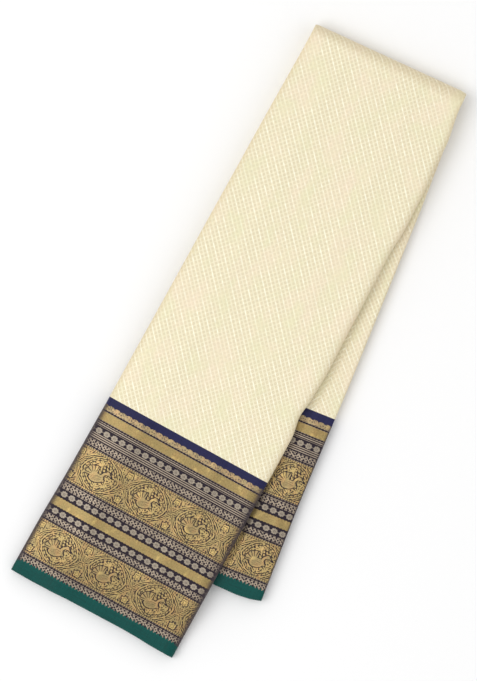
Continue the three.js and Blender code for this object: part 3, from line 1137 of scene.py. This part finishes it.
def one_turn(add, given):
    """A small arc of thread."""
    arc = add(
        "GeometryNodeCurveArc", {"mode": "RADIUS"}, Resolution=7, Radius=1.0, Start_Angle=0.0,
        Sweep_Angle=math.pi,
    )
    size = add("ShaderNodeCombineXYZ", X=given["Pitch"] * TURN_SHARE, Y=given["Reach"], Z=1.0)
    arc = add("GeometryNodeTransform", Geometry=arc, Scale=size, Translation=(0, -TUCKED, 0))
    section = add(
        "GeometryNodeCurvePrimitiveCircle", {"mode": "RADIUS"}, Resolution=5,
        Radius=given["Thickness"] * 0.5,
    )
    return add("GeometryNodeCurveToMesh", Curve=arc, Profile_Curve=section, Fill_Caps=True)


def uneven_size(add, given):
    """A turn's own reach, as a share of the full one."""
    chance = given["Unevenness"].tree.nodes.new("FunctionNodeRandomValue")
    chance.data_type = "FLOAT"
    feed(chance.inputs[2], 1 - given["Unevenness"])
    feed(chance.inputs[3], 1.0)
    feed(chance.inputs["Seed"], SEED)
    return add("ShaderNodeCombineXYZ", X=1.0, Y=Signal(chance.outputs[1]), Z=1.0)


def turns_tree():
    """Small arcs of thread, one after another along lines of edges."""
    tree = bpy.data.node_groups.new("weft_turns", "GeometryNodeTree")
    add_socket(tree, "Geometry", "Geometry")
    for label in TURN:
        add_socket(tree, label)
    add_socket(tree, "Thread", "Material")
    add_socket(tree, "Geometry", "Geometry", "OUTPUT")
    add = node_adder(tree)
    given = {socket.name: Signal(socket) for socket in tree.nodes.new("NodeGroupInput").outputs}

    lines = add("GeometryNodeMeshToCurve", Mesh=given["Geometry"])
    lines = add("GeometryNodeResampleCurve", {"mode": "LENGTH"}, Curve=lines, Length=given["Pitch"])
    out, up = (
        add("GeometryNodeInputNamedAttribute", {"data_type": "FLOAT_VECTOR"}, Name=label)
        for label in ("out", "up")
    )
    heading = add(
        "FunctionNodeAxesToRotation", {"primary_axis": "Y", "secondary_axis": "Z"},
        Primary_Axis=out, Secondary_Axis=up,
    )
    turns = add(
        "GeometryNodeInstanceOnPoints", Points=lines, Instance=one_turn(add, given),
        Rotation=heading, Scale=uneven_size(add, given),
    )
    turns = add("GeometryNodeRealizeInstances", Geometry=turns)
    turns = add(
        "GeometryNodeStoreNamedAttribute", {"data_type": "FLOAT2", "domain": "CORNER"},
        Geometry=turns, Name="cloth", Value=add("GeometryNodeInputPosition"),
    )
    turns = add("GeometryNodeSetMaterial", Geometry=turns, Material=given["Thread"])
    feed(tree.nodes.new("NodeGroupOutput").inputs[0], turns)
    return tree


def lay_weft_turns():
    """The weft turns back round the last warp thread, and shows as small loops there."""
    piece = linked("weft_turns", selvedge_lines())
    modifier = piece.modifiers.new("turns", "NODES")
    modifier.node_group = turns_tree()
    values = dict(TURN, Thread=FINISHES["selvedge"])
    for socket in modifier.node_group.interface.items_tree:
        if socket.in_out == "INPUT" and socket.name in values:
            modifier[socket.identifier] = values[socket.name]
    made = piece.evaluated_get(bpy.context.evaluated_depsgraph_get())
    mesh = bpy.data.meshes.new_from_object(made)
    piece.modifiers.remove(modifier)
    piece.data = mesh
    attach(piece, "root")


# ---- The stage, in metres ----
CAMERA = {"turn": 28.7, "at": (-0.02714, -0.00825), "level": 0.02, "away": 5.0, "tall": 0.6674}
SENSOR = 36
SEES_TO = 50
FLOOR = {"size": 8, "colour": (0.95, 0.95, 0.95, 1), "rough": 0.9}
SKY = {"high": 1.0, "low": 0.85, "strength": 0.82}
KEY = {"at": (-1.3, -0.7, 2.7), "size": 2.2, "watts": 36}


def set_camera():
    data = bpy.data.cameras.new("camera")
    data.sensor_width = SENSOR
    data.lens = SENSOR * CAMERA["away"] / CAMERA["tall"]
    data.clip_end = SEES_TO
    camera = linked("camera", data)
    camera.location = (*CAMERA["at"], CAMERA["level"] + CAMERA["away"])
    camera.rotation_euler = (0, 0, math.radians(CAMERA["turn"]))
    bpy.context.scene.camera = camera


def set_floor():
    half = FLOOR["size"] / 2
    corners = [(-half, -half, 0), (half, -half, 0), (half, half, 0), (-half, half, 0)]
    mesh = bpy.data.meshes.new("floor")
    mesh.from_pydata(corners, [], [(0, 1, 2, 3)])
    floor = linked("floor", mesh)
    material = bpy.data.materials.new("pale_floor")
    material.use_nodes = True
    shader = material.node_tree.nodes["Principled BSDF"]
    shader.inputs["Base Color"].default_value = FLOOR["colour"]
    shader.inputs["Roughness"].default_value = FLOOR["rough"]
    mesh.materials.append(material)


def set_sky():
    """A white studio, a little dimmer near the horizon."""
    world = bpy.data.worlds.new("studio")
    world.use_nodes = True
    bpy.context.scene.world = world
    tree = world.node_tree
    height = split(node_adder(tree)("ShaderNodeTexCoord"))[2].do("MAXIMUM", 0.0)
    light = height * (SKY["high"] - SKY["low"]) + SKY["low"]
    background = tree.nodes["Background"]
    background.inputs["Color"].default_value = (1, 1, 1, 1)
    feed(background.inputs["Strength"], light * SKY["strength"])


def set_key():
    lamp = bpy.data.lights.new("softbox", "AREA")
    lamp.size = KEY["size"]
    lamp.energy = KEY["watts"]
    key = linked("softbox", lamp)
    key.location = KEY["at"]
    toward = -key.location
    key.rotation_euler = toward.to_track_quat("-Z", "Y").to_euler()


lay_face("outer")
lay_face("inner")
lay_hidden_plies()
lay_weft_turns()
set_camera()
set_floor()
set_sky()
set_key()
bpy.context.scene.view_settings.view_transform = "Standard"
